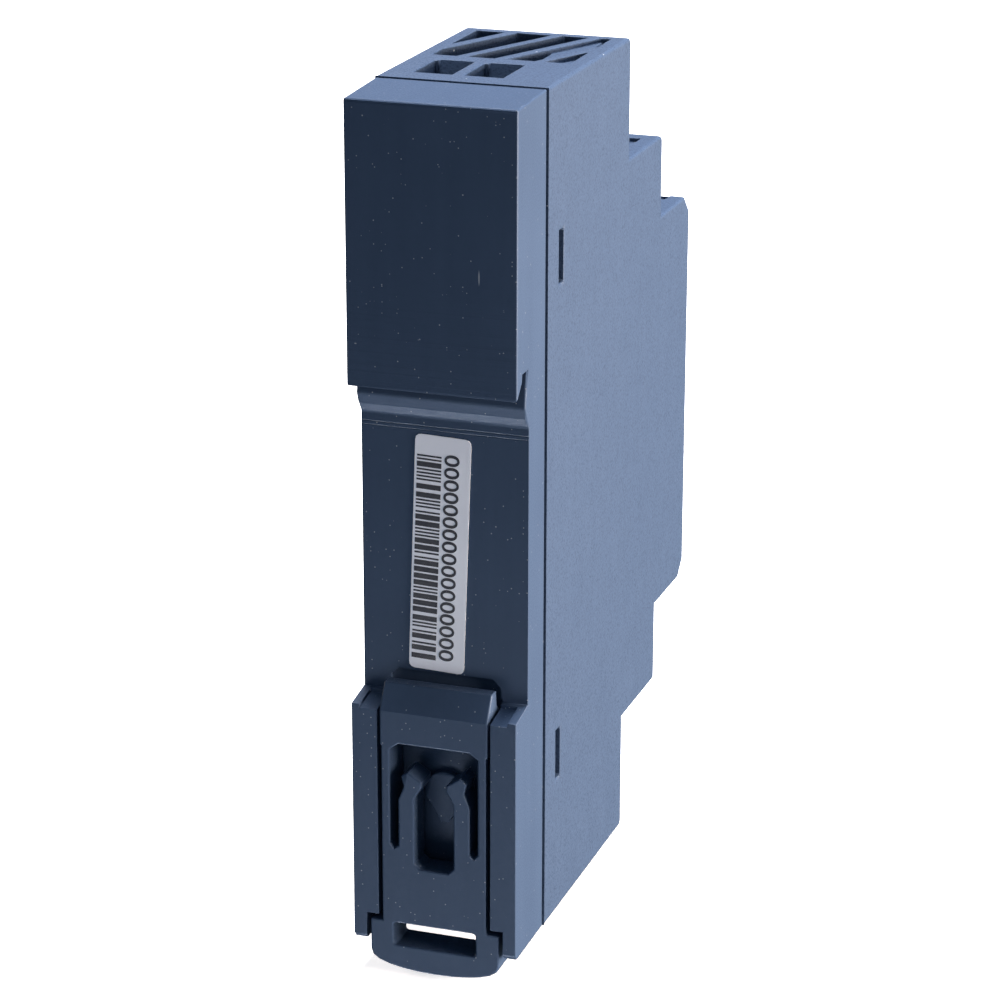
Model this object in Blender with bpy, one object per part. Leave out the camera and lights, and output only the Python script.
"""A one-module DIN rail power supply, modelled piece by piece.

The origin is the middle of the rail seat: mid width, mid height, on the face that the rail's lips rest on.
+Y points back to the rail, -Y to the front of the cabinet, +Z up, and the latch is at the lower end.
Inside the functions a place is written (x, depth, rise) in millimetres: depth runs forward from the
rear-most plane, and rise runs up from the lower end of the case.
"""
import math

import bmesh
import bpy
from mathutils import Matrix, Vector

MM = 0.001
GAP = 0.3                       # play between neighbouring pieces

# Case
WIDTH = 18.0
HEIGHT = 89.0
DEPTH = 60.0
WALL = 1.5
SEAM_DEPTH = 8.6                # where the rear housing ends
SEAM_GAP = 0.4
SEAM_STEP = (0.15, 0.1)         # how far the rear housing stands back at the sides, and at the ends
SHOULDER_DEPTH = 36.4           # front faces over the terminals
STEP_DEPTH = 48.7               # front faces of the middle step
STEP_HEIGHT = 63.2
NOSE_HEIGHT = 45.2              # the front face that shows through a cabinet cover
CORNER = 0.48                   # chamfer along the edges of the steps
NOSE_CHAMFER = 2.0

# Rail side
RAIL_SEAT = 3.7                 # depth of the face that the rail rests on
RAIL_SLOT = 35.3                # from the lower ledge to the roof of the hook notch
HOOK_LIP = 2.3                  # how far the hook reaches down behind the rail
HOOK_THROAT = 1.7               # depth of the hook's inner face
FOOT_EDGE = (0.4, 0.5)          # chamfer under the rear face: along depth and along rise
TOP_EDGE = 0.15                 # chamfer above it
TOP_FALL = 0.42                 # the top falls by this much towards the rear
LEDGE_SLOPE = 0.65              # the ledge falls by this much towards the rear
PAD_DROP = 5.9                  # from the notch roof to the lower edge of the ramp below it
CHANNEL_FLOOR = 4.3
CHANNEL_HALF = 6.1
GROOVE_SIDE = 1.1               # how far the groove runs under each guide rib
GROOVE_DEPTH = 2.1
GROOVE_TOP = 21.0               # from the latch's base
LEDGE_DISH = 0.45
LEDGE_RIM = 0.9
NOSE_WINDOW = 2.3               # the opening above the ledge where the latch nose moves
WINDOW_CORNER = 0.8
BOSS_RADIUS = 2.2
BOSS_RISE = 16.2
BOSS_TAIL = 3.4
BOSS_DEPTH = 3.46

# Latch
LATCH_FRONT = 4.0
LATCH_PLAY = 0.48               # between the body and each side of the channel
BODY_TOP = 22.2
NOSE_TOP = 28.4
NOSE_FLAT = (1.5, 2.8)
NOSE_LEAD_IN = 25.8
LATCH_WINDOW_HALF = 4.77
ARM_OUTER = 3.85
ARM_INNER = 2.13
ARM_SLOT_FLOOR = 10.8
ARM_GAP_FLOOR = 8.7
ARM_HEAD = ((2.13, 16.55), (1.35, 17.8), (1.35, 18.45), (2.78, 19.4), (3.53, 18.85), (3.25, 17.72),
            (3.85, 16.2))       # an arm's bent-over end, from its inner side round to its outer side
SHOULDER_HALF = 7.0
SHOULDER_TOP = 2.45
FOOT_DROP = 3.0
BOW_START = 1.0
PULL_SLOT = (-0.2, 2.35)        # rise of the screwdriver slot's lower and upper edge
PULL_SLOT_HALF = 4.5
SCOOP = (2.9, 1.4)              # cut away below the channel's floor: along depth and along rise

# Snap fit between the two housings
SNAP_DEPTH = (12.4, 14.0)
SNAP_HEIGHT = 5.5
SNAP_OFFSET = 26.7
SNAP_TAB = 1.0                  # thickness of a tab
SNAP_BARB = 0.8                 # how far its barb stands into the window

# Terminals
POLE_PITCH = 5.28
ENTRY = (4.05, 7.0)             # wire entry: width and depth
ENTRY_DEPTH = 12.0
ENTRY_RIB = (0.45, 0.8)         # strip down the entry's front corner
ENTRY_SLANT = 2.2               # how much nearer to the rear the entry's front wall is at its foot
FUNNEL = 3.0
FUNNEL_WALL = 0.7
TERMINAL_INSET = 7.9            # from the end of the case to the screw axis
CAGE_HALF = 2.1
CAGE_WALL = 0.8
CAGE_NUT = 1.2                  # thickness of the wall that the screw threads into
CAGE_HEIGHT = 5.0
CAGE_SETBACK = 1.4              # from the entry's rear edge to the inside of the cage
CAGE_PLAY = 0.7                 # room behind the open cage
CLAMP_OPENING = 3.6
CLAMP_TRAVEL = 3.2
BAR_THICKNESS = 0.8
BAR_HALF = 1.0
FOOT_WIDTH = 1.2
BAR_LEGS = (3.0, 5.2)           # how far each bar runs on past its cage
SCREW_RADIUS = 1.25
SCREW_HEAD = (1.9, 2.0)         # radius and length
SCREW_SLOT = (0.7, 1.0)         # width and depth
SCREWDRIVER_HOLE = 2.1
BLOCK_WALL = 0.8
BLOCK_END = 1.0                 # the block's rear wall
BLOCK_FOOT = 1.4                # from the cage to the block's end
BLOCK_PLAY = 0.22               # between the block and the side wall
HEAD_RECESS = 1.1               # from a screw's head to the block's front

# Vents
VENT_SLANT = math.radians(22.8)
VENT_RIB = 1.1
VENT_RIBS = (6.4, 1.3, -2.75, -6.9)
VENT_BACK = 2.0                 # from the entries, or from the step behind, to the zone
VENT_MARGINS = (1.8, 2.5, 1.9)  # from the zone to the face in front of it, step by step
VENT_EDGE = (7.4, 7.25)         # zone's reach to +X and to -X
VENT_BLIND = (3.2, 6.45)        # stretch towards -X that is only a recess
VENT_BLIND_DEPTH = 0.5

# Sticker on the rail seat
LABEL = (5.9, 25.0)
LABEL_CORNER = 0.65
LABEL_TILT = math.radians(2.0)
LABEL_X = 0.5
LABEL_DROP = 2.6                # from the middle of the case
LABEL_THICKNESS = 0.08
LABEL_GAP = 0.02

# Electronics
BOARD_CLEARANCE = 0.9
BOARD_THICKNESS = 1.6
BOARD_REAR = 15.2
BOARD_MARGIN = 0.8
FRONT_BOARD_BACK = 8.5          # from the front board's front to the inner face of the front wall
TRANSFORMER_HEIGHT = 11.2       # above the board
CORE_REACH = 8.0                # from the transformer's middle to its ends
CORE_HALF = 6.6
CORE_LEG = 2.2                  # half of the middle leg
CORE_SIDE = 1.6
CORE_BACK = 2.0
CORE_THICKNESS = 4.8
BOBBIN_WALL = 0.8
BOBBIN_FLANGE = 0.8
FRONT_BOARD_THICKNESS = 1.2
FRONT_BOARD_MARGIN = 5.0        # past the LED and past the trimmer
INDICATOR_X = 1.2
LED_DROP = 6.5                  # from the middle of the case
TRIMMER_DROP = 14.0
TRIMMER_RADIUS = 1.6
TRIMMER_HEIGHT = 4.2
ROTOR_HEIGHT = 1.0
LENS_RADIUS = 1.5

HALF = WIDTH / 2
REAR_HALF = HALF - SEAM_STEP[0]
INNER = HALF - WALL
BOARD_X = -(INNER - BOARD_CLEARANCE) + BOARD_THICKNESS      # component face of the main board
MOUNT_X = BOARD_X + GAP                                     # where the components' bases are
FRONT_INSIDE = DEPTH - WALL
FRONT_BOARD_REAR = FRONT_INSIDE - FRONT_BOARD_BACK
FRONT_MOUNT = FRONT_BOARD_REAR + FRONT_BOARD_THICKNESS + GAP    # where the LED and the trimmer stand
LEDGE = HEIGHT / 2 - RAIL_SLOT / 2
NOTCH_ROOF = HEIGHT / 2 + RAIL_SLOT / 2
LATCH_BASE = LEDGE - 26.85      # rise that the latch's own heights are counted from
ENTRY_FRONT = ENTRY_DEPTH + ENTRY[1]
BAR_REAR = ENTRY_DEPTH + CAGE_SETBACK + CLAMP_OPENING
CAGE_REAR = BAR_REAR - CLAMP_OPENING - CAGE_WALL
CAGE_FRONT = BAR_REAR + BAR_THICKNESS + GAP + CAGE_NUT
SCREW_SEAT = CAGE_FRONT + CLAMP_TRAVEL + GAP + CAGE_WALL
BLOCK_REAR = CAGE_REAR - CAGE_PLAY - BLOCK_END
BLOCK_FRONT = SCREW_SEAT + GAP + SCREW_HEAD[1] + HEAD_RECESS
BLOCK_SIDE = CAGE_HALF + GAP + BLOCK_WALL                   # from a pole to the block's side
LED_RISE = HEIGHT / 2 - LED_DROP
TRIMMER_RISE = HEIGHT / 2 - TRIMMER_DROP
LAST_POLE = INNER - BLOCK_PLAY - BLOCK_SIDE
POLES = (LAST_POLE - POLE_PITCH, LAST_POLE)


# ---------------------------------------------------------------- helpers

def point(x, depth, rise):
    return Vector((x, RAIL_SEAT - depth, rise - HEIGHT / 2)) * MM


def clear_scene():
    for obj in list(bpy.data.objects):
        bpy.data.objects.remove(obj)


def material(name, colour, roughness, metallic=0.0, alpha=1.0):
    made = bpy.data.materials.get(name)
    if made is None:
        made = bpy.data.materials.new(name)
        made.use_nodes = True
        shader = made.node_tree.nodes["Principled BSDF"]
        shader.inputs["Base Color"].default_value = (*colour, 1.0)
        shader.inputs["Roughness"].default_value = roughness
        shader.inputs["Metallic"].default_value = metallic
        shader.inputs["Alpha"].default_value = alpha
    return made


def slate():
    return material("slate_plastic", (0.075, 0.105, 0.165), 0.55)


def add(name, shape, look, origin=None):
    """An object from a bmesh, with its origin on the given place when it moves about it."""
    bmesh.ops.recalc_face_normals(shape, faces=shape.faces)
    mesh = bpy.data.meshes.new(name)
    shape.to_mesh(mesh)
    shape.free()
    mesh.materials.append(look)
    obj = bpy.data.objects.new(name, mesh)
    bpy.context.scene.collection.objects.link(obj)
    if origin is not None:
        mesh.transform(Matrix.Translation(-origin))
        obj.location = origin
    return obj


def prism_shape(outline, axis, low, high):
    """The outline pushed along an axis. It holds the other two coordinates, in the order x, depth, rise."""
    order = {"x": lambda a, b, t: point(t, a, b),
             "depth": lambda a, b, t: point(a, t, b),
             "rise": lambda a, b, t: point(a, b, t)}[axis]
    shape = bmesh.new()
    rings = [[shape.verts.new(order(a, b, t)) for a, b in outline] for t in (low, high)]
    shape.faces.new(rings[0])
    shape.faces.new(rings[1])
    for i in range(len(outline)):
        j = (i + 1) % len(outline)
        shape.faces.new((rings[0][i], rings[0][j], rings[1][j], rings[1][i]))
    return shape


def rectangle(a, b):
    return [(a[0], b[0]), (a[1], b[0]), (a[1], b[1]), (a[0], b[1])]


def box_shape(x, depth, rise):
    return prism_shape(rectangle(x, depth), "rise", *rise)


def circle(centre, radius, steps):
    turns = [2 * math.pi * i / steps for i in range(steps)]
    return [(centre[0] + radius * math.cos(a), centre[1] + radius * math.sin(a)) for a in turns]


def turned_shape(centre, profile, axis, steps):
    """A ring for each (radius, height) pair, around an axis through the centre, closed at both ends."""
    shape = bmesh.new()
    rings = []
    for radius, height in profile:
        ring = []
        for a, b in circle((0, 0), radius, steps):
            offset = {"depth": (a, height, b), "rise": (a, b, height), "x": (height, a, b)}[axis]
            ring.append(shape.verts.new(point(*(c + o for c, o in zip(centre, offset)))))
        rings.append(ring)
    shape.faces.new(rings[0])
    shape.faces.new(rings[-1])
    for lower, upper in zip(rings, rings[1:]):
        for i in range(steps):
            j = (i + 1) % steps
            shape.faces.new((lower[i], lower[j], upper[j], upper[i]))
    return shape


def rounded(outline, radius, steps=3):
    """The outline with each corner turned into an arc, cut short where a side is too short for it."""
    result = []
    count = len(outline)
    for i in range(count):
        here = Vector(outline[i])
        before = Vector(outline[i - 1]) - here
        after = Vector(outline[(i + 1) % count]) - here
        half_angle = before.angle(after) / 2
        reach = min(radius / math.tan(half_angle), 0.45 * before.length, 0.45 * after.length)
        start = here + before.normalized() * reach
        end = here + after.normalized() * reach
        for step in range(steps + 1):
            t = step / steps
            result.append(tuple(start.lerp(here, t).lerp(here.lerp(end, t), t)))
    return result


def smooth(obj, angle=35.0):
    obj.data.shade_smooth()
    obj.data.set_sharp_from_angle(angle=math.radians(angle))
    return obj


def cut(obj, *shapes):
    """Removes the shapes from the object."""
    for shape in shapes:
        boolean(obj, shape, "DIFFERENCE")
    return obj


def fuse(obj, *shapes):
    """Joins the shapes to the object."""
    for shape in shapes:
        boolean(obj, shape, "UNION")
    return obj


def boolean(obj, shape, operation):
    """The shape stays in the scene as a hidden wire helper."""
    number = len(obj.modifiers)
    helper = add(f"{obj.name}_helper_{number}", shape, slate())
    helper.hide_render = True
    helper.display_type = "WIRE"
    modifier = obj.modifiers.new(f"{operation.lower()}_{number}", "BOOLEAN")
    modifier.operation = operation
    modifier.object = helper
    modifier.solver = "EXACT"


def mirrored(ranges):
    """A range of x and its mirror image."""
    return (ranges, (-ranges[1], -ranges[0]))


def turned_over(rise):
    """A range of rise, measured down from the upper end instead."""
    return (HEIGHT - rise[1], HEIGHT - rise[0])


# ---------------------------------------------------------------- housings

def stepped_outline(inset, rear):
    """Side view of the front housing's steps, set in from the outer faces by a wall."""
    half = HEIGHT / 2
    levels = ((half, SHOULDER_DEPTH), (STEP_HEIGHT / 2, STEP_DEPTH), (NOSE_HEIGHT / 2, DEPTH))
    upper = []
    for level, (reach, front) in enumerate(levels):
        chamfer = NOSE_CHAMFER if level == len(levels) - 1 else CORNER
        start = rear if level == 0 else levels[level - 1][1] - inset
        upper.append((start, half + reach - inset))
        upper.append((front - inset - chamfer, half + reach - inset))
        upper.append((front - inset, half + reach - inset - chamfer))
    lower = [(depth, HEIGHT - rise) for depth, rise in reversed(upper)]
    return upper + lower


def clipped(polygon, normal, limit):
    """The part of a convex polygon where normal . point is under the limit."""
    kept = []
    for i, here in enumerate(polygon):
        before = polygon[i - 1]
        side_here = normal[0] * here[0] + normal[1] * here[1] - limit
        side_before = normal[0] * before[0] + normal[1] * before[1] - limit
        if side_here * side_before < 0:
            t = side_before / (side_before - side_here)
            kept.append((before[0] + t * (here[0] - before[0]), before[1] + t * (here[1] - before[1])))
        if side_here <= 0:
            kept.append(here)
    return kept


def vent_slots(x, depth):
    """The openings left in a rectangle between slanted ribs, as (x, depth) outlines."""
    normal = (math.cos(VENT_SLANT), math.sin(VENT_SLANT))
    middle = (depth[0] + depth[1]) / 2
    lines = [normal[0] * rib + normal[1] * middle for rib in VENT_RIBS]
    edges = [math.inf] + lines + [-math.inf]
    slots = []
    for high, low in zip(edges, edges[1:]):
        slot = rectangle(x, depth)
        if high < math.inf:
            slot = clipped(slot, normal, high - VENT_RIB / 2)
        if slot and low > -math.inf:
            slot = clipped(slot, (-normal[0], -normal[1]), -(low + VENT_RIB / 2))
        if len(slot) > 2:
            slots.append(slot)
    return slots


def vent_cutters(depth, rise):
    """Cutters for the vents in one step's upper face, and in the same step's lower face."""
    through = (rise - WALL - GAP, rise + GAP)
    blind = (rise - VENT_BLIND_DEPTH, rise + GAP)
    zones = (((-VENT_BLIND[0], VENT_EDGE[0]), through), ((-VENT_BLIND[1], -VENT_BLIND[0]), blind),
             ((-VENT_EDGE[1], -VENT_BLIND[1]), through))
    for x, span in zones:
        for slot in vent_slots(x, depth):
            for reach in (span, turned_over(span)):
                yield prism_shape(slot, "rise", *reach)


def wire_entry(pole, rise, foot):
    """Cutters for a wire entry whose front wall slants to guide the wire, with a strip in its corner."""
    low, high = pole - ENTRY[0] / 2, pole + ENTRY[0] / 2
    strip = high - ENTRY_RIB[0]
    narrow = ENTRY_FRONT - ENTRY_SLANT
    yield box_shape((low, high), (ENTRY_DEPTH, narrow), rise)
    mouth = sum(rise) - foot
    slant = [(narrow - GAP, foot), (narrow, foot), (ENTRY_FRONT, mouth), (narrow - GAP, mouth)]
    yield prism_shape(slant, "x", low, strip)
    yield box_shape((strip - GAP, high), (narrow - GAP, ENTRY_FRONT - ENTRY_RIB[1]), rise)


def open_for_wiring(shell):
    """Wire entries through both ends, with a funnel inside, and screwdriver holes in front of the screws."""
    funnel_x = (POLES[0] - ENTRY[0] / 2 - FUNNEL_WALL, POLES[1] + ENTRY[0] / 2 + FUNNEL_WALL)
    funnel_depth = (ENTRY_DEPTH - FUNNEL_WALL, ENTRY_FRONT + FUNNEL_WALL)
    funnel_rise = (HEIGHT - WALL - FUNNEL, HEIGHT - WALL / 2)
    for rise in (funnel_rise, turned_over(funnel_rise)):
        fuse(shell, box_shape(funnel_x, funnel_depth, rise))
    entry_rise = (HEIGHT - WALL - FUNNEL - GAP, HEIGHT + GAP)
    for pole in POLES:
        cut(shell, *wire_entry(pole, entry_rise, entry_rise[0]))
        cut(shell, *wire_entry(pole, turned_over(entry_rise), HEIGHT - entry_rise[0]))
        for rise in (HEIGHT - TERMINAL_INSET, TERMINAL_INSET):
            hole = circle((pole, rise), SCREWDRIVER_HOLE, 20)
            cut(shell, prism_shape(hole, "depth", SHOULDER_DEPTH - 2 * WALL, SHOULDER_DEPTH + GAP))


def front_housing():
    half = HEIGHT / 2
    rear = SEAM_DEPTH + SEAM_GAP
    shell = add("front_housing", prism_shape(stepped_outline(0, rear), "x", -HALF, HALF), slate())
    cut(shell, prism_shape(stepped_outline(WALL, rear - WALL), "x", -INNER, INNER))
    open_for_wiring(shell)
    steps = ((ENTRY_FRONT, SHOULDER_DEPTH, half), (SHOULDER_DEPTH, STEP_DEPTH, STEP_HEIGHT / 2),
             (STEP_DEPTH, DEPTH, NOSE_HEIGHT / 2))
    for (behind, front, reach), margin in zip(steps, VENT_MARGINS):
        cut(shell, *vent_cutters((behind + VENT_BACK, front - margin), half + reach))
    for rise in (half - SNAP_OFFSET, half + SNAP_OFFSET):
        window = (rise - SNAP_HEIGHT / 2, rise + SNAP_HEIGHT / 2)
        cut(shell, box_shape((-HALF - GAP, HALF + GAP), SNAP_DEPTH, window))
    for rise, radius in ((LED_RISE, LENS_RADIUS + GAP), (TRIMMER_RISE, TRIMMER_RADIUS + GAP)):
        hole = circle((INDICATOR_X, rise), radius, 20)
        cut(shell, prism_shape(hole, "depth", FRONT_INSIDE - GAP, DEPTH + GAP))
    return shell


def hook_outline():
    """Side view of the rear housing: block, ledge, rail seat, the ramp up to the notch, and the hook."""
    lower = SEAM_STEP[1]
    upper = HEIGHT - TOP_FALL
    block = [(SEAM_DEPTH, lower), (FOOT_EDGE[0], 0), (0, FOOT_EDGE[1]), (0, LEDGE - LEDGE_SLOPE),
             (RAIL_SEAT, LEDGE)]
    ramp = [(RAIL_SEAT, NOTCH_ROOF - PAD_DROP), (3.0, NOTCH_ROOF - 4.9), (2.53, NOTCH_ROOF - 3.7),
            (2.75, NOTCH_ROOF - 2.2), (3.15, NOTCH_ROOF - 0.6), (3.3, NOTCH_ROOF)]
    hook = [(HOOK_THROAT, NOTCH_ROOF), (HOOK_THROAT - 0.05, NOTCH_ROOF - 0.5), (0, NOTCH_ROOF - HOOK_LIP),
            (0, upper - TOP_EDGE), (TOP_EDGE, upper), (SEAM_DEPTH, HEIGHT - lower)]
    return block + ramp + hook


def teardrop():
    """Round at the top and drawn down to a blunt point, below which the latch arms close again."""
    middle = LATCH_BASE + BOSS_RISE
    angles = [math.radians(-20 + 220 * i / 12) for i in range(13)]
    top = [(BOSS_RADIUS * math.cos(a), middle + BOSS_RADIUS * math.sin(a)) for a in angles]
    return top + [(-0.35, middle - BOSS_TAIL), (0.35, middle - BOSS_TAIL)]


def snap_tab(side, rise):
    """A tab that reaches into the front housing, with a barb that stands in the side window."""
    outer = INNER - GAP
    inner = outer - SNAP_TAB
    root = SEAM_DEPTH - WALL
    barb = INNER + SNAP_BARB
    catch = SNAP_DEPTH[0] + GAP
    outline = [(inner, root), (INNER + WALL / 3, root), (INNER + WALL / 3, SEAM_DEPTH - GAP),
               (outer, SEAM_DEPTH - GAP), (outer, catch), (barb, catch), (barb, catch + GAP),
               (outer, SNAP_DEPTH[1] - GAP), (outer, SNAP_DEPTH[1] + GAP), (inner, SNAP_DEPTH[1] + GAP)]
    half = SNAP_HEIGHT / 2 - GAP
    return prism_shape([(side * x, depth) for x, depth in outline], "rise", rise - half, rise + half)


def nose_window():
    """Rear view of the opening above the ledge, with its upper corners cut off."""
    half = CHANNEL_HALF - 0.2
    top = LEDGE + NOSE_WINDOW
    return [(-half, LEDGE), (half, LEDGE), (half, top - WINDOW_CORNER), (half - WINDOW_CORNER, top),
            (-half + WINDOW_CORNER, top), (-half, top - WINDOW_CORNER)]


def rear_housing():
    """The half towards the rail. Below the channel it lets a blade pass through the latch's slot."""
    shell = add("rear_housing", prism_shape(hook_outline(), "x", -REAR_HALF, REAR_HALF), slate())
    above = LEDGE + NOSE_WINDOW + WALL
    front = SEAM_DEPTH + GAP
    hollow = [(front, WALL), (CHANNEL_FLOOR + WALL, WALL), (CHANNEL_FLOOR + WALL, above),
              (RAIL_SEAT + WALL, above + 1), (RAIL_SEAT + WALL, NOTCH_ROOF + WALL),
              (WALL, NOTCH_ROOF + WALL), (WALL, HEIGHT - WALL), (front, HEIGHT - WALL)]
    cut(shell, prism_shape(hollow, "x", -INNER, INNER))
    below = -GAP
    groove = CHANNEL_HALF + GROOVE_SIDE
    mouth = SHOULDER_HALF + 1.5 * GAP
    cut(shell, box_shape((-CHANNEL_HALF, CHANNEL_HALF), (below, CHANNEL_FLOOR), (below, LEDGE + GAP)),
        prism_shape(nose_window(), "depth", 0, CHANNEL_FLOOR),
        box_shape((-groove, groove), (GROOVE_DEPTH, CHANNEL_FLOOR), (below, LATCH_BASE + GROOVE_TOP)),
        box_shape((-mouth, mouth), (below, CHANNEL_FLOOR), (below, SHOULDER_TOP + 2 * GAP)))
    scoop = [(CHANNEL_FLOOR - GAP, below), (CHANNEL_FLOOR + SCOOP[0], below), (CHANNEL_FLOOR + SCOOP[0], 0),
             (CHANNEL_FLOOR, SCOOP[1]), (CHANNEL_FLOOR - GAP, SCOOP[1])]
    cut(shell, prism_shape(scoop, "x", -PULL_SLOT_HALF - GAP, PULL_SLOT_HALF + GAP))
    for x in mirrored((CHANNEL_HALF - GAP, REAR_HALF - LEDGE_RIM)):
        dish = [(below, LEDGE - LEDGE_SLOPE - LEDGE_DISH), (RAIL_SEAT - 0.5, LEDGE - LEDGE_DISH),
                (RAIL_SEAT - 0.5, LEDGE + GAP), (below, LEDGE + GAP)]
        cut(shell, prism_shape(dish, "x", *x))
    fuse(shell, prism_shape(teardrop(), "depth", BOSS_DEPTH, CHANNEL_FLOOR + WALL / 2))
    for side in (-1, 1):
        for level in (-1, 1):
            fuse(shell, snap_tab(side, HEIGHT / 2 + level * SNAP_OFFSET))
    return shell


# ---------------------------------------------------------------- latch

def latch_outline():
    """Rear view of the latch's body: straight sides, shoulders, and a foot with a bowed lower edge."""
    body = CHANNEL_HALF - LATCH_PLAY
    side = [(body, LATCH_BASE + BODY_TOP), (body, SHOULDER_TOP), (SHOULDER_HALF, SHOULDER_TOP),
            (SHOULDER_HALF, -BOW_START)]
    bow = [(SHOULDER_HALF * math.cos(a), -BOW_START - (FOOT_DROP - BOW_START) * math.sin(a) ** 0.8)
           for a in (math.radians(angle) for angle in range(15, 90, 15))]
    right = side + bow
    return right + [(0, -FOOT_DROP)] + [(-x, rise) for x, rise in reversed(right)]


def latch_slider():
    base = LATCH_BASE
    origin = point(0, LATCH_FRONT, base)
    slider = add("latch_slider", prism_shape(latch_outline(), "depth", 0, LATCH_FRONT), slate(), origin)
    head_half = CHANNEL_HALF - GAP
    root = BODY_TOP - 0.2
    head = [(0, root), (0, NOSE_LEAD_IN), (NOSE_FLAT[0], NOSE_TOP), (NOSE_FLAT[1], NOSE_TOP),
            (NOSE_FLAT[1] + 0.2, NOSE_TOP - 1.6), (LATCH_FRONT - GAP, NOSE_TOP - 2.2), (LATCH_FRONT, root)]
    fuse(slider, prism_shape([(depth, rise + base) for depth, rise in head], "x", -head_half, head_half))
    flange = CHANNEL_HALF + GROOVE_SIDE - GAP
    length = (1.0, base + GROOVE_TOP - 1.0)
    fuse(slider, box_shape((-flange, flange), (GROOVE_DEPTH + GAP, LATCH_FRONT), length))
    cut(slider, *latch_cutters(base))
    slot = rounded(rectangle((-PULL_SLOT_HALF, PULL_SLOT_HALF), PULL_SLOT), 0.3, 2)
    cut(slider, prism_shape(slot, "depth", -1, LATCH_FRONT + 1))
    return slider


def latch_cutters(base):
    """The window round the spring arms, and the pocket that keeps the arms clear of the boss."""
    top = BODY_TOP + 0.2
    right = [(0, top), (LATCH_WINDOW_HALF - 1.0, top), (LATCH_WINDOW_HALF, top - 0.73),
             (LATCH_WINDOW_HALF, ARM_SLOT_FLOOR + 0.45), (LATCH_WINDOW_HALF - 0.45, ARM_SLOT_FLOOR),
             (ARM_OUTER, ARM_SLOT_FLOOR + 0.3)]
    arm = list(reversed(ARM_HEAD))
    inside = [(ARM_INNER, ARM_GAP_FLOOR + 0.6), (ARM_INNER - 0.6, ARM_GAP_FLOOR)]
    half = right + arm + inside
    outline = half + [(-x, rise) for x, rise in reversed(half) if x > 0]
    yield prism_shape([(x, rise + base) for x, rise in outline], "depth", -1, LATCH_FRONT + 1)
    relief = (-LATCH_WINDOW_HALF, LATCH_WINDOW_HALF)
    reach = (base + ARM_SLOT_FLOOR - 4, base + GROOVE_TOP)
    yield box_shape(relief, (BOSS_DEPTH - GAP, LATCH_FRONT + 1), reach)


# ---------------------------------------------------------------- terminals

def terminal_block(name, over):
    """The insulating block that guides both clamps of one end. It is open where wires and bars pass."""
    top = HEIGHT - WALL - FUNNEL - GAP
    rise = over((HEIGHT - TERMINAL_INSET - CAGE_HEIGHT / 2 - BLOCK_FOOT, top))
    x = (POLES[0] - BLOCK_SIDE, POLES[1] + BLOCK_SIDE)
    block = add(name, box_shape(x, (BLOCK_REAR, BLOCK_FRONT), rise),
                material("terminal_plastic", (0.03, 0.035, 0.04), 0.5))
    axis = sum(over((HEIGHT - TERMINAL_INSET,) * 2)) / 2
    through = (rise[0] - 1, rise[1] + 1)
    for pole in POLES:
        half = CAGE_HALF + GAP
        guide = (BLOCK_REAR + BLOCK_END, SCREW_SEAT - CAGE_WALL)
        cut(block, box_shape((pole - half, pole + half), guide, through))
        shank = circle((pole, axis), SCREW_RADIUS + GAP, 16)
        head = circle((pole, axis), SCREW_HEAD[0] + GAP, 20)
        cut(block, prism_shape(shank, "depth", SCREW_SEAT - 2, BLOCK_FRONT - 0.5),
            prism_shape(head, "depth", SCREW_SEAT, BLOCK_FRONT + 1))
    return block


def clamp_cage(name, pole, axis):
    """A loop that the screw draws forward, with the wire and the contact bar inside it."""
    metal = material("zinc_plated_steel", (0.62, 0.62, 0.6), 0.35, 1.0)
    rise = (axis - CAGE_HEIGHT / 2, axis + CAGE_HEIGHT / 2)
    cage = add(name, box_shape((pole - CAGE_HALF, pole + CAGE_HALF), (CAGE_REAR, CAGE_FRONT), rise), metal,
               point(pole, CAGE_REAR, axis))
    inner = CAGE_HALF - CAGE_WALL
    cut(cage, box_shape((pole - inner, pole + inner), (CAGE_REAR + CAGE_WALL, CAGE_FRONT - CAGE_NUT),
                        (rise[0] - 1, rise[1] + 1)))
    hole = circle((pole, axis), SCREW_RADIUS + GAP, 16)
    cut(cage, prism_shape(hole, "depth", CAGE_FRONT - 2, CAGE_FRONT + 1))
    return cage


def clamp_screw(name, pole, axis):
    tip = BAR_REAR + BAR_THICKNESS + GAP
    seat = SCREW_SEAT + GAP
    radius, length = SCREW_HEAD
    profile = [(SCREW_RADIUS - 0.3, tip), (SCREW_RADIUS, tip + 0.3), (SCREW_RADIUS, seat), (radius, seat),
               (radius, seat + length - 0.3), (radius - 0.3, seat + length)]
    screw = add(name, turned_shape((pole, 0, axis), profile, "depth", 20),
                material("screw_steel", (0.7, 0.7, 0.68), 0.3, 1.0), point(pole, seat, axis))
    width, depth = SCREW_SLOT
    cut(screw, box_shape((pole - 2 * radius, pole + 2 * radius), (seat + length - depth, seat + length + 1),
                         (axis - width / 2, axis + width / 2)))
    return smooth(screw)


def contact_bar(name, pole, over, leg):
    """A flat stamped bar: the wire is clamped on its upright, and its foot reaches to the board."""
    end = HEIGHT - TERMINAL_INSET + CAGE_HEIGHT / 2 + GAP
    low = HEIGHT - TERMINAL_INSET - CAGE_HEIGHT / 2 - leg
    upright = over((low, end))
    foot = over((low, low + FOOT_WIDTH))
    depth = (BAR_REAR, BAR_REAR + BAR_THICKNESS)
    bar = add(name, box_shape((pole - BAR_HALF, pole + BAR_HALF), depth, upright),
              material("tinned_copper", (0.75, 0.73, 0.7), 0.3, 1.0))
    return fuse(bar, box_shape((MOUNT_X, pole), depth, foot))


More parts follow.
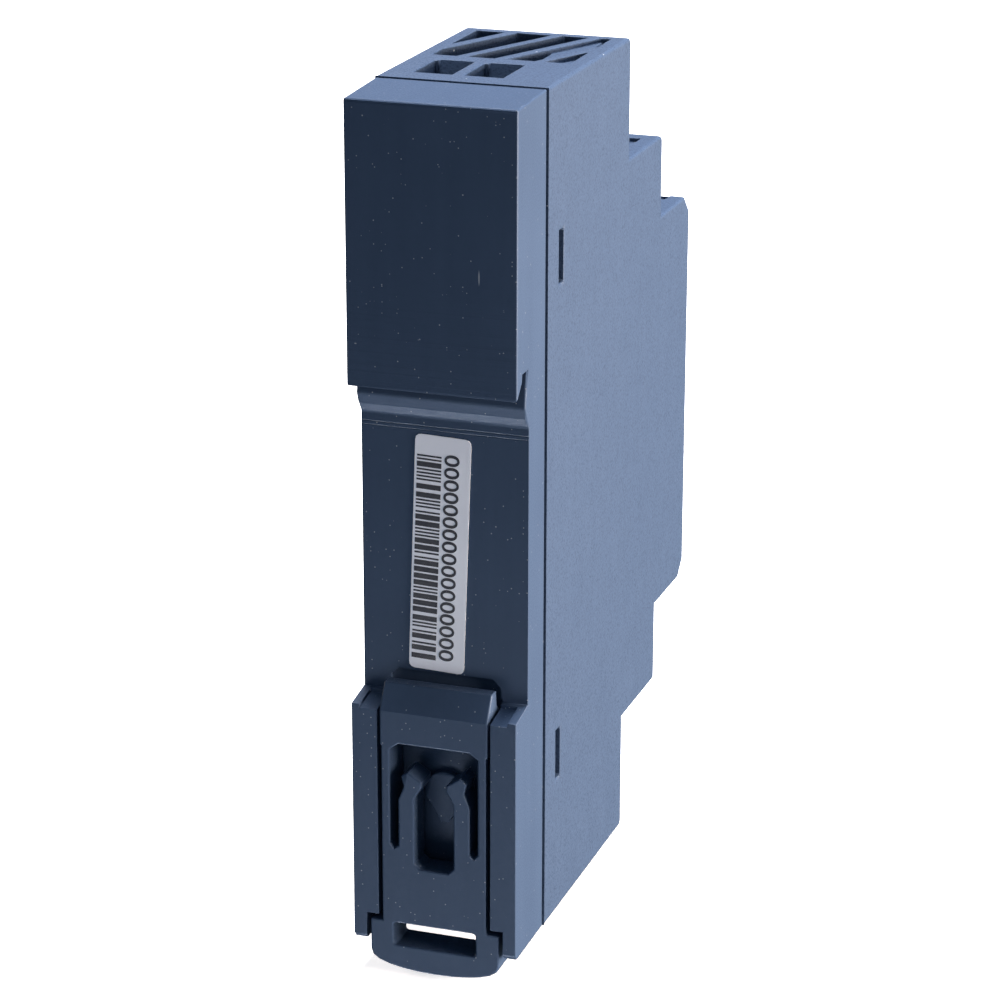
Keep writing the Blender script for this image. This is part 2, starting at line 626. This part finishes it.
def terminals():
    ends = (("input", ("neutral", "line"), tuple), ("output", ("negative", "positive"), turned_over))
    for end, poles, over in ends:
        terminal_block(f"{end}_terminal_block", over)
        axis = sum(over((HEIGHT - TERMINAL_INSET,) * 2)) / 2
        for pole, x, leg in zip(poles, POLES, BAR_LEGS):
            clamp_cage(f"{pole}_clamp_cage", x, axis)
            clamp_screw(f"{pole}_clamp_screw", x, axis)
            contact_bar(f"{pole}_contact_bar", x, over, leg)


# ---------------------------------------------------------------- boards

def boards():
    outline = stepped_outline(WALL + BOARD_MARGIN, BOARD_REAR)
    green = material("board_green", (0.02, 0.12, 0.06), 0.4)
    add("main_board", prism_shape(outline, "x", BOARD_X - BOARD_THICKNESS, BOARD_X), green)
    add("insulating_sheet", prism_shape(outline, "x", -INNER + GAP, -INNER + 2 * GAP),
        material("insulating_film", (0.75, 0.76, 0.72), 0.4))
    depth = (FRONT_BOARD_REAR, FRONT_BOARD_REAR + FRONT_BOARD_THICKNESS)
    rise = (TRIMMER_RISE - FRONT_BOARD_MARGIN, LED_RISE + FRONT_BOARD_MARGIN)
    add("front_board", box_shape((MOUNT_X, INNER - GAP), depth, rise), green)


def indicator():
    """Status LED and its lens in the front wall."""
    led = [(1.75, 0), (1.75, 0.8), (1.45, 0.8), (1.45, 3.4), (1.05, 4.5), (0.35, 4.9)]
    led = [(radius, FRONT_MOUNT + height) for radius, height in led]
    smooth(add("status_led", turned_shape((INDICATOR_X, 0, LED_RISE), led, "depth", 20),
               material("led_green", (0.1, 0.7, 0.2), 0.2)))
    flange = FRONT_INSIDE - GAP
    light = [(LENS_RADIUS + 0.8, flange - 1.0), (LENS_RADIUS + 0.8, flange), (LENS_RADIUS, flange),
             (LENS_RADIUS, DEPTH - 0.25), (LENS_RADIUS - 0.3, DEPTH)]
    smooth(add("status_lens", turned_shape((INDICATOR_X, 0, LED_RISE), light, "depth", 24),
               material("clear_lens", (0.7, 0.85, 0.75), 0.1)))


def trimmer():
    """The output voltage trimmer: a body on the front board and a slotted rotor that turns."""
    half = TRIMMER_RADIUS + 0.8
    top = FRONT_MOUNT + TRIMMER_HEIGHT
    add("trimmer_body", box_shape((INDICATOR_X - half, INDICATOR_X + half), (FRONT_MOUNT, top),
                                  (TRIMMER_RISE - half, TRIMMER_RISE + half)),
        material("trimmer_blue", (0.05, 0.16, 0.45), 0.45))
    face = top + GAP
    disc_profile = [(TRIMMER_RADIUS, face), (TRIMMER_RADIUS, face + ROTOR_HEIGHT - 0.2),
                    (TRIMMER_RADIUS - 0.2, face + ROTOR_HEIGHT)]
    rotor = add("trimmer_rotor", turned_shape((INDICATOR_X, 0, TRIMMER_RISE), disc_profile, "depth", 20),
                material("trimmer_white", (0.8, 0.8, 0.76), 0.5), point(INDICATOR_X, face, TRIMMER_RISE))
    cut(rotor, box_shape((INDICATOR_X - half, INDICATOR_X + half), (face + 0.4, face + 2 * ROTOR_HEIGHT),
                         (TRIMMER_RISE - 0.3, TRIMMER_RISE + 0.3)))
    smooth(rotor)


# ---------------------------------------------------------------- components on the main board

def standing(name, size, depth, rise, look, radius=0.4):
    """A block on the main board, size high above it, with its upright edges rounded."""
    outline = rounded(rectangle(depth, rise), radius, 2)
    return add(name, prism_shape(outline, "x", MOUNT_X, MOUNT_X + size), look)


def disc(name, radius, thickness, depth, rise, look):
    """A disc on edge: its axis runs up the case."""
    profile = [(radius - 0.5, 0), (radius, 0.5), (radius, thickness - 0.5), (radius - 0.5, thickness)]
    return smooth(add(name, turned_shape((MOUNT_X + radius, depth, rise), profile, "rise", 24), look))


def can(name, radius, length, depth, rise):
    """An electrolytic capacitor lying along the board, its vent end up."""
    profile = [(radius - 0.3, 0), (radius, 0.3), (radius, 1.6), (radius - 0.35, 2.0), (radius, 2.4),
               (radius, length - 0.3), (radius - 0.3, length)]
    sleeve = material("capacitor_sleeve", (0.03, 0.035, 0.06), 0.35)
    return smooth(add(name, turned_shape((MOUNT_X + radius, depth, rise), profile, "rise", 24), sleeve))


def ring_sector(centre, inner, outer, start, end, steps):
    """Flat outline of a ring's sector in (depth, rise)."""
    angles = [math.radians(start + (end - start) * i / steps) for i in range(steps + 1)]
    outside = [(centre[0] + outer * math.cos(a), centre[1] + outer * math.sin(a)) for a in angles]
    inside = [(centre[0] + inner * math.cos(a), centre[1] + inner * math.sin(a)) for a in reversed(angles)]
    return outside + inside


def ferrite():
    return material("ferrite", (0.035, 0.035, 0.037), 0.6)


def copper():
    return material("enamelled_copper", (0.55, 0.2, 0.07), 0.3, 0.8)


def common_mode_choke(depth, rise):
    """A toroid that stands on its side with one winding on each half."""
    inner, outer, height, wire = 2.6, 5.0, 4.0, 0.9
    middle = MOUNT_X + wire + GAP + height / 2
    ring = circle((depth, rise), outer, 32)
    core = add("choke_core", prism_shape(ring, "x", middle - height / 2, middle + height / 2), ferrite())
    cut(core, prism_shape(circle((depth, rise), inner, 24), "x", middle - height, middle + height))
    reach = height / 2 + GAP
    full = reach + wire
    for side, start in (("rear", 120), ("front", -60)):
        sleeve = ring_sector((depth, rise), inner - GAP - wire, outer + GAP + wire, start, start + 120, 10)
        room = ring_sector((depth, rise), inner - GAP, outer + GAP, start - 10, start + 130, 12)
        sleeve_shape = prism_shape(sleeve, "x", middle - full, middle + full)
        winding = add(f"choke_winding_{side}", sleeve_shape, copper())
        cut(winding, prism_shape(room, "x", middle - reach, middle + reach))


def transformer_cores(middle, depth, rise):
    """Two E-shaped halves that meet in the middle of the bobbin."""
    half = CORE_HALF
    for name, sign in (("transformer_core_lower", -1), ("transformer_core_upper", 1)):
        reach = sorted(rise + sign * t for t in (0.15, CORE_REACH))
        core = add(name, box_shape((middle - CORE_THICKNESS / 2, middle + CORE_THICKNESS / 2),
                                   (depth - half, depth + half), reach), ferrite())
        room = sorted(rise + sign * t for t in (-1, CORE_REACH - CORE_BACK))
        for wall in (-1, 1):
            span = sorted((depth + wall * CORE_LEG, depth + wall * (half - CORE_SIDE)))
            cut(core, box_shape((middle - CORE_THICKNESS, middle + CORE_THICKNESS), span, room))


def transformer(depth, rise):
    """A ferrite shell of two E halves, a bobbin on its middle leg, and the winding between the flanges."""
    middle = MOUNT_X + TRANSFORMER_HEIGHT / 2
    transformer_cores(middle, depth, rise)
    plastic = material("bobbin_plastic", (0.04, 0.04, 0.045), 0.55)
    bore = (CORE_THICKNESS / 2 + GAP, CORE_LEG + GAP)
    tube = (bore[0] + BOBBIN_WALL, bore[1] + BOBBIN_WALL)
    flange = CORE_REACH - CORE_BACK - GAP
    wide = CORE_HALF - CORE_SIDE - GAP
    tube_x = (middle - tube[0], middle + tube[0])
    tube_depth = (depth - tube[1], depth + tube[1])
    bobbin = add("transformer_bobbin", box_shape(tube_x, tube_depth, (rise - flange, rise + flange)), plastic)
    for sign in (-1, 1):
        span = sorted((rise + sign * (flange - BOBBIN_FLANGE), rise + sign * flange))
        fuse(bobbin, box_shape((MOUNT_X, MOUNT_X + TRANSFORMER_HEIGHT), (depth - wide, depth + wide), span))
    whole = (rise - CORE_REACH, rise + CORE_REACH)
    cut(bobbin, box_shape((middle - bore[0], middle + bore[0]), (depth - bore[1], depth + bore[1]), whole))
    inside = flange - BOBBIN_FLANGE - GAP
    outline = rounded(rectangle((MOUNT_X + 0.8, MOUNT_X + TRANSFORMER_HEIGHT - 0.4),
                                (depth - wide + 0.2, depth + wide - 0.2)), 1.2, 2)
    winding = add("transformer_winding", prism_shape(outline, "rise", rise - inside, rise + inside),
                  material("winding_tape", (0.75, 0.55, 0.08), 0.4))
    room = ((tube_x[0] - GAP, tube_x[1] + GAP), (tube_depth[0] - GAP, tube_depth[1] + GAP))
    cut(winding, box_shape(*room, whole))


def output_choke(depth, rise):
    """A drum core with its winding as a sleeve between the flanges."""
    flange, leg, wound, top, rim = 4.0, 1.8, 3.6, 8.5, 1.2
    centre = (MOUNT_X, depth, rise)
    drum = [(flange, 0), (flange, rim), (leg, rim), (leg, top - rim), (flange, top - rim), (flange, top)]
    smooth(add("output_choke_core", turned_shape(centre, drum, "x", 24), ferrite()))
    profile = [(wound, rim + GAP), (wound, top - rim - GAP)]
    sleeve = add("output_choke_winding", turned_shape(centre, profile, "x", 24), copper())
    cut(sleeve, prism_shape(circle((depth, rise), leg + GAP, 24), "x", MOUNT_X, MOUNT_X + top))
    smooth(sleeve)


def components():
    epoxy = material("black_epoxy", (0.02, 0.02, 0.022), 0.5)
    middle = HEIGHT / 2
    standing("fuse", 8.0, (27.9, 31.9), (HEIGHT - 11.5, HEIGHT - 3.5),
             material("fuse_brown", (0.12, 0.06, 0.03), 0.5))
    disc("varistor", 4.6, 4.0, 21.5, middle + 24.6, material("varistor_blue", (0.03, 0.1, 0.35), 0.45))
    disc("inrush_thermistor", 4.0, 3.4, 32.0, middle + 24.6,
         material("thermistor_green", (0.05, 0.14, 0.08), 0.55))
    common_mode_choke(22.6, middle + 16.6)
    standing("line_filter_capacitor", 10.5, (30.6, 43.6), (middle + 17.6, middle + 23.2),
             material("film_capacitor_yellow", (0.62, 0.45, 0.05), 0.45))
    disc("safety_capacitor", 3.4, 2.8, 34.4, middle + 12.6, material("ceramic_blue", (0.02, 0.2, 0.42), 0.4))
    standing("bridge_rectifier", 2.6, (39.4, 46.0), (middle + 9.6, middle + 16.4), epoxy, 0.2)
    can("bulk_capacitor", 4.8, 19.0, 51.2, middle + 0.6)
    transformer(25.6, middle - 0.2)
    standing("switching_controller", 3.2, (36.6, 43.0), (middle - 1.4, middle + 7.6), epoxy, 0.2)
    standing("optocoupler", 3.4, (36.6, 41.2), (middle - 9.4, middle - 3.4), epoxy, 0.2)
    can("output_capacitor_rear", 4.0, 14.0, 20.2, middle - 25.4)
    can("output_capacitor_front", 4.0, 14.0, 29.0, middle - 25.4)
    output_choke(40.0, middle - 24.0)
    sink = material("aluminium", (0.8, 0.8, 0.8), 0.35, 1.0)
    standing("heatsink", 10.0, (36.2, 46.2), (middle - 13.6, middle - 12.2), sink, 0.3)
    standing("output_rectifier", 8.0, (37.4, 45.0), (middle - 17.6, middle - 13.9), epoxy, 0.3)


# ---------------------------------------------------------------- label

def serial_label():
    """A sticker on the rail seat, a little askew."""
    width, height = LABEL
    corners = rounded(rectangle((-width / 2, width / 2), (-height / 2, height / 2)), LABEL_CORNER, 3)
    turn = Matrix.Rotation(LABEL_TILT, 2)
    centre = Vector((LABEL_X, HEIGHT / 2 - LABEL_DROP))
    turned = [tuple(centre + turn @ Vector(corner)) for corner in corners]
    front = RAIL_SEAT - LABEL_GAP
    add("serial_label", prism_shape(turned, "depth", front - LABEL_THICKNESS, front),
        material("label_white", (0.75, 0.76, 0.82), 0.4))


# ---------------------------------------------------------------- assembly

def build():
    clear_scene()
    front_housing()
    rear_housing()
    latch_slider()
    terminals()
    boards()
    indicator()
    trimmer()
    components()
    serial_label()


build()
